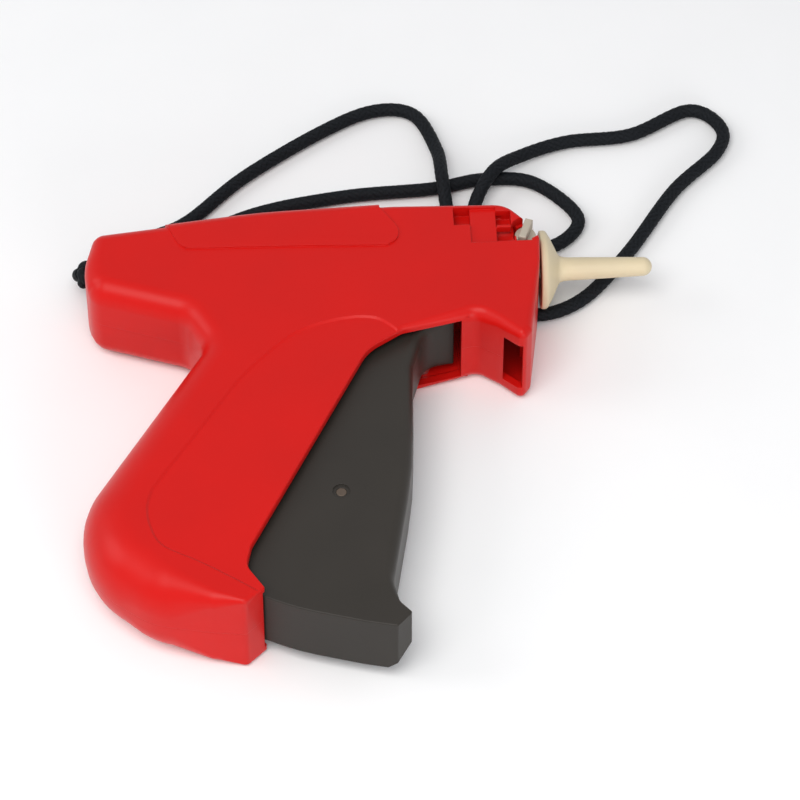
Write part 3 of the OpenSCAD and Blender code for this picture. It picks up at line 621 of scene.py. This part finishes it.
def casing_half(right):
    body = hollow_blank(right)
    # the shallow step round the handle's panel
    panel = smooth_line(HANDLE_LINE, 4) + [(-22, -75), (20, -60), (20, 20)]
    cut(body, to_side(tapered(panel[::-1], BODY_T - 0.5, BODY_T + 0.8, 1.6), right))
    if right:
        # floors under the nose recesses and the knob
        add(body, block(22.9, 56.4, BODY_T - 5.95, 41.2, 70.5, BODY_T - 3.6),
            block(43, 55.2, BODY_T - 8.5, 46.6, 63.6, BODY_T - 4.6))
        # the raised panel follows the barrel's rounded top
        radii = [p[3] for p in CASING]
        grown = stack("grown", lift(half_rings(Outline(CASING), radii, MID + PANEL_RISE, 8, -PANEL_RISE)))
        window = prism(smooth_line(PANEL, 4) + [(3, 80), (-60, 80)], MID + 4, BODY_T + 3)
        boolean(grown, window, "INTERSECT")
        add(body, grown)
    else:
        # the roof and the two walls of the relief that the lanyard passes through
        add(body, block(RELIEF_X - 1.5, 48.4, CORD_RELIEF - 0.5, 46.6, 70.1, CORD_RELIEF + 1.6),
            block(RELIEF_X - 1.4, 47.4, 1, 46.4, 49.6, CORD_RELIEF + 1.4),
            block(RELIEF_X - 1.4, 48.5, 1, RELIEF_X + 0.8, 69.9, CORD_RELIEF + 1.5))
    cut(body, opening_cutter(), block(TRACK_X, 10, MID - CLIP_T / 2, TRACK_X + CLIP_W, 85, MID + CLIP_T / 2))
    cut(body, cylinder_x(30, 60, NEEDLE_Y, MID, NEEDLE_BORE_R),
        cylinder_x(-90, -74.5, LANYARD[1], MID, LANYARD_HOLE_R))
    if right:
        for x0, y0, x1, y1, depth in NOSE_RECESSES:
            cut(body, block(x0, y0, BODY_T - depth, x1, y1, BODY_T + 2))
        cut(body, cylinder(*KNOB, KNOB_Z, BODY_T + 4, KNOB_WELL_R, 64),
            cylinder(*KNOB, KNOB_Z + KNOB_H - 0.2, BODY_T + 4, KNOB_SWEEP_R, 64),
            block(41.6, 57, KNOB_Z + 0.6, 46, 61.6, BODY_T + 4))
        cut(body, cylinder(*KNOB, MID + 0.2, BODY_T + 5, SHAFT_BORE_R, 32))
    else:
        cut(body, block(RELIEF_X, 49, -1, 57.4, 79, CORD_RELIEF), cylinder(*KNOB, 8, MID + 4, SHAFT_BORE_R, 32))
        for x, y in SCREWS:
            cut(body, cylinder(x, y, -1, MID + 5, SCREW_BORE_R, 32), cylinder(x, y, -1, SCREW_HEAD_Z, SCREW_HEAD_R, 48))
    finish_mesh(body)
    return body


place(casing_half(True), "casing", "casing", RED, "right_shell")
place(casing_half(False), "casing", "casing", RED, "left_shell")

# ---- Trigger ----------------------------------------------------------------
TRIGGER_T = 19.6
TRIGGER_FLAT = 2            # thickness of its two side walls
TRIGGER_WEB = 1.8           # thickness of its front wall
ROUND, EDGE = 3, 0.4        # edge rounding where fingers lie, and elsewhere
PIVOT_HOLE_R = 1.85
PIN_R = 1.5
RING_R, RING_DEPTH = 2.4, 0.5       # the ring recess round the pin
CHEEK_TOP, CHEEK_FOOT = (-3.4, 17.1), (-35.6, -47.5)    # the casing's edge that the trigger slides behind
CHEEK_REACH = 4                                         # how far the trigger goes in behind it
cheek = unit((CHEEK_FOOT[0] - CHEEK_TOP[0], CHEEK_FOOT[1] - CHEEK_TOP[1]))
cheek_side = turned(cheek, -math.pi / 2)
# [x, y, corner radius, edge rounding], clockwise from the hook
TRIGGER = [
    (3.5, 38.5, 4, EDGE), (20.0, 39.0, 4, EDGE), (22.6, 34.0, 0.8, EDGE), (22.7, 32.8, 0.5, EDGE),
    (14.0, 29.4, 8, ROUND), (10.4, 17.0, 12, ROUND), (9.0, -18.0, 160, ROUND), (2.0, -56.0, 14, ROUND),
    (3.0, -64.3, 4, 0.6), (6.4, -68.4, 0.8, EDGE), (2.2, -72.8, 0.6, EDGE),
    (*on_arc(-6.4), 40, EDGE), (*on_arc(-24), 60, EDGE), (*on_arc(-40), 1, EDGE),
    (-40.6, -50, 3, EDGE),
    (CHEEK_FOOT[0] + cheek_side[0] * CHEEK_REACH - 1.6, CHEEK_FOOT[1] + cheek_side[1] * CHEEK_REACH, 6, EDGE),
    (CHEEK_TOP[0] + cheek_side[0] * CHEEK_REACH, CHEEK_TOP[1] + cheek_side[1] * CHEEK_REACH, 6, EDGE),
]
upper = half_rings(Outline(TRIGGER), [p[3] for p in TRIGGER], TRIGGER_T / 2, 6)[1:]
rings = [[(x, y, -z) for x, y, z in r] for r in upper[::-1]] + upper
trigger = stack("trigger_look", lift(rings))
web = [(p[0], p[1]) for p in inset_points(TRIGGER, [TRIGGER_WEB] * len(TRIGGER))]
channel = [(20.7, 34.4)] + web[4:len(web) - 4] + [(-41, -54), (-60, -40), (-30, 45), (3, 46), (19, 46)]
cut(trigger, prism(channel, MID - TRIGGER_T / 2 + TRIGGER_FLAT, MID + TRIGGER_T / 2 - TRIGGER_FLAT))
cut(trigger, cylinder(*PIVOT, 0, BODY_T, PIVOT_HOLE_R, 48), cylinder(*PIN, 0, BODY_T, PIN_R, 48))
for z0, z1 in ((0, MID - TRIGGER_T / 2 + RING_DEPTH), (MID + TRIGGER_T / 2 - RING_DEPTH, BODY_T)):
    cut(trigger, cylinder(*PIN, z0, z1, RING_R, 48))
# the foot's lower corner is cut off on the slant; the cutter is drawn in plan and stood on edge
toe = prism([(-1.3, 4), (10, 4), (10, 15.3)], 61, 76)
toe.data.transform(Matrix(((1, 0, 0, 0), (0, 0, -1, 0), (0, 1, 0, 0), (0, 0, 0, 1))))
cut(trigger, toe)
finish_mesh(trigger)
place(trigger, "trigger_lever", "trigger_plastic", GREY, "trigger")

PIN_L = 18.8
pin = revolve([(1.1, 0), (1.4, 0.12), (PIN_R, 0.35), (PIN_R, PIN_L - 0.35), (1.4, PIN_L - 0.12), (1.1, PIN_L)],
              48, "trigger_pin_look")
pin.data.transform(Matrix.Translation((*PIN, MID - PIN_L / 2)))
finish_mesh(pin, 40)
place(pin, "trigger_lever", "steel", PIN_STEEL, "trigger_pin")

# ---- Needle guard -----------------------------------------------------------
GUARD_X, GUARD_TIP = 48.5, 80.6     # its flange's flat face and its tip
FLANGE_R, GUARD_R = 11.2, 3.2
TIP_R = GUARD_R - 0.5
MOUTH_R, MOUTH_DEPTH = 2.3, 3.4
GUARD_BORE_R, GUARD_BORE_DEPTH = 1.75, 30.3
length = GUARD_TIP - GUARD_X
# (radius, distance from the flange's face): the flange's edge, its cone, the stem and the round tip
profile = [(FLANGE_R - 0.5 + 0.5 * math.sin(a), 0.5 - 0.5 * math.cos(a)) for a in (0, 0.5, 1.0, 1.57)]
profile += [(FLANGE_R, 1.2), (FLANGE_R - 0.12, 1.7), (FLANGE_R - 0.5, 2.1), (FLANGE_R - 1.1, 2.45)]
profile += [(9.0, 3.1), (7.5, 3.8), (6.2, 4.4), (5.0, 4.95), (4.4, 5.25), (3.95, 5.6), (3.65, 6.1),
            (3.45, 6.9), (3.32, 8.2), (3.25, 12.0)]
profile += [(TIP_R * math.cos(math.radians(a)), length - TIP_R + TIP_R * math.sin(math.radians(a)))
            for a in range(0, 90, 9)]
profile += [(0.02, length)]
guard = revolve(profile, 96, "guard_look")
cut(guard, revolve([(MOUTH_R, -1), (MOUTH_R, MOUTH_DEPTH)], 48),
    revolve([(GUARD_BORE_R, -1), (GUARD_BORE_R, GUARD_BORE_DEPTH)], 48))
along_x(guard, GUARD_X)
finish_mesh(guard, 40)
place(guard, "guard", "guard_plastic", CREAM, "needle_guard")

# ---- Lock knob --------------------------------------------------------------
GRIP_HALF_W, GRIP_HALF_L, GRIP_H, GRIP_EDGE = 1.1, 3.6, 3.1, 0.5
GRIP_TILT = math.radians(-20)
SHAFT_FLAT = 1.1            # from the shaft's axis to its flat
knob = revolve([(KNOB_R - 0.4, 0), (KNOB_R, 0.3), (KNOB_R, KNOB_H - 0.5), (KNOB_R - 0.15, KNOB_H - 0.15),
                (KNOB_R - 0.5, KNOB_H)], 64, "knob_look")
knob.data.transform(Matrix.Translation((*KNOB, KNOB_Z + 0.1)))
bar = [(0.0, -0.6)]         # (how far in from the grip's sides, height above the head)
for k in range(5):
    a = math.pi / 2 * k / 4
    bar.append((GRIP_EDGE * (1 - math.cos(a)), GRIP_H - GRIP_EDGE * (1 - math.sin(a))))
grip = stack("grip", [[(sx * (GRIP_HALF_W - d), sy * (GRIP_HALF_L - d), z)
                       for sx, sy in ((-1, -1), (1, -1), (1, 1), (-1, 1))] for d, z in bar])
grip.data.transform(Matrix.Translation((*KNOB, KNOB_Z + KNOB_H)) @ Matrix.Rotation(GRIP_TILT, 4, "Z"))
add(knob, grip)
shaft = cylinder(*KNOB, MID - 5, KNOB_Z + 0.5, SHAFT_R, 48)
cut(shaft, block(KNOB[0] + SHAFT_FLAT, KNOB[1] - 3, MID - 4, KNOB[0] + 4, KNOB[1] + 3, MID + 4))
add(knob, shaft)
finish_mesh(knob)
place(knob, "knob", "knob_plastic", WARM, "lock_knob")


# ---- Tubes: the lanyard, its knot and the return spring ----------------------
STRAND_DEPTH = 0.17         # depth of the grooves between strands, as a share of the radius
STRANDS = 8                 # each way round
STRAND_PITCH = 2.4          # along the cord, in millimetres


def tube(name, path, radius, sides, relief=None, closed=False):
    """A round tube along a path in millimetres. relief(millimetres along, angle) is 1 on a strand, 0 in a groove."""
    pts = [Vector(p) for p in path]
    n = len(pts)
    verts, faces, strand = [], [], []
    side = Vector((0, 0, 1))
    along = 0.0
    for i, p in enumerate(pts):
        before = pts[i - 1] if i or closed else pts[0]
        after = pts[(i + 1) % n] if i < n - 1 or closed else pts[-1]
        t = (after - before).normalized()
        side = (side - t * side.dot(t)).normalized()
        other = t.cross(side)
        if i:
            along += (p - pts[i - 1]).length
        for k in range(sides):
            a = 2 * math.pi * k / sides
            f = relief(along, a) if relief else 0.0
            strand.append(f)
            swell = 1 + (f - 1) * STRAND_DEPTH if relief else 1
            verts.append(p + (side * math.cos(a) + other * math.sin(a)) * radius * swell)
    for i in range(n if closed else n - 1):
        for k in range(sides):
            a, b = i * sides, ((i + 1) % n) * sides
            faces.append((a + k, a + (k + 1) % sides, b + (k + 1) % sides, b + k))
    if not closed:
        faces.append(tuple(range(sides))[::-1])
        faces.append(tuple(range((n - 1) * sides, n * sides)))
    me = bpy.data.meshes.new(name)
    me.from_pydata(verts, [], faces)
    layer = me.attributes.new("strand", "FLOAT", "POINT")
    layer.data.foreach_set("value", strand)
    o = bpy.data.objects.new(name, me)
    scene.collection.objects.link(o)
    me.transform(Matrix.Scale(0.001, 4))
    for f in me.polygons:
        f.use_smooth = True
    return o


def plait(along, a):
    """Sixteen strands, eight each way, that pass over and under in turn."""
    p = a * STRANDS / (2 * math.pi) + along / STRAND_PITCH
    q = a * STRANDS / (2 * math.pi) - along / STRAND_PITCH
    u, v = p % 1.0, q % 1.0
    over = (math.floor(p) + math.floor(q)) % 2 == 0
    return math.sin(math.pi * u) ** 0.5 if over else math.sin(math.pi * v) ** 0.5


# the cord's centre line, from the knot round its two loops and back
ROUTE = [
    (-82, 65, 12), (-83, 68, 8), (-81, 73, 4), (-75, 80, 2.3), (-64, 86, 2.3), (-52, 92, 2.3),
    (-35, 109, 2.3), (-12, 126, 2.3), (4, 134, 2.3), (16, 132, 2.3), (22, 117, 3.4), (23, 103, 6.7),
    (24, 92, 3.4), (25, 79, 2.3), (29, 66, 2.3), (38, 56, 2.3), (49, 52, 2.3), (62, 58, 2.3),
    (76, 75, 2.3), (91, 98, 2.3), (105, 113, 2.3), (107, 123, 2.3), (98, 130, 2.3), (80, 121, 2.3),
    (61, 119, 2.3), (47, 113, 3.4), (38, 104, 6.7), (32, 93, 3.4), (33, 82, 2.3), (44, 77, 2.3),
    (56, 79, 2.3), (62, 89, 2.3), (50, 103, 2.3), (35, 105, 2.3), (20, 102, 2.3), (-6, 100, 2.3),
    (-33, 94, 2.3), (-58, 81, 2.3), (-73, 75, 2.3), (-80, 69, 6),
]
path = resample(smooth_line(ROUTE, 24), 0.45)
lanyard = tube("lanyard_look", path, CORD_R, 32, plait)
trefoil = [(math.sin(a) + 2 * math.sin(2 * a), math.cos(a) - 2 * math.cos(2 * a), -math.sin(3 * a))
           for a in (2 * math.pi * k / 160 for k in range(160))]
knot_path = [Vector((LANYARD[0] + z * 1.1 - 0.6, LANYARD[1] + x * 0.95, MID + y * 0.95)) for x, y, z in trefoil]
knot = tube("lanyard_knot_look", knot_path, 1.5, 32, lambda along, a: plait(along * 1.2, a), closed=True)
place(knot, "casing", "cord_fabric", BRAID, "lanyard_knot")
place(lanyard, "casing", "cord_fabric", BRAID, "lanyard_cord")

SPRING_R, SPRING_WIRE_R = 3.6, 0.5
SPRING_TURNS, STEPS_A_TURN = 13, 28
away = unit((SEAT[0] - PIN[0], SEAT[1] - PIN[1]))
start = (PIN[0] + away[0] * 4.3, PIN[1] + away[1] * 4.3)
end = (SEAT[0] - away[0] * 4.8, SEAT[1] - away[1] * 4.8)
span = math.dist(start, end)
coil = []
for k in range(SPRING_TURNS * STEPS_A_TURN + 1):
    f = k / (SPRING_TURNS * STEPS_A_TURN)
    a = 2 * math.pi * SPRING_TURNS * f
    coil.append((start[0] + away[0] * span * f - away[1] * SPRING_R * math.cos(a),
                 start[1] + away[1] * span * f + away[0] * SPRING_R * math.cos(a), MID + SPRING_R * math.sin(a)))
spring = tube("return_spring_look", coil, SPRING_WIRE_R, 12)
place(spring, "casing", "steel", STEEL, "return_spring")
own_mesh(spring)

# ---- The materials of the CAD nodes, of which most keep their own shape --------
FINISH = {
    "shell_screws": STEEL, "trigger_pivot_pin": STEEL, "drive_lever": WHITE, "lever_bracket": STEEL,
    "fulcrum_pin": STEEL, "ejector_slide": WHITE, "ejector_rod": STEEL, "slide_pin": STEEL,
    "slide_rails": WHITE, "feed_wheel": WHITE, "feed_axle": STEEL, "check_pawl": WARM, "pawl_pin": STEEL,
    "pawl_spring": STEEL, "clip_track": RED, "cutter_blade": STEEL, "needle": STEEL,
    "needle_base": WHITE, "lanyard_pin": STEEL,
    # these are replaced above, and have their look's material
    "right_shell": RED, "left_shell": RED, "trigger": GREY, "trigger_pin": PIN_STEEL, "needle_guard": CREAM,
    "lock_knob": WARM, "lanyard_cord": BRAID, "lanyard_knot": BRAID, "return_spring": STEEL,
}
for node_name, material in FINISH.items():
    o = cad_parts[node_name]
    o.data.materials.clear()
    o.data.materials.append(material)
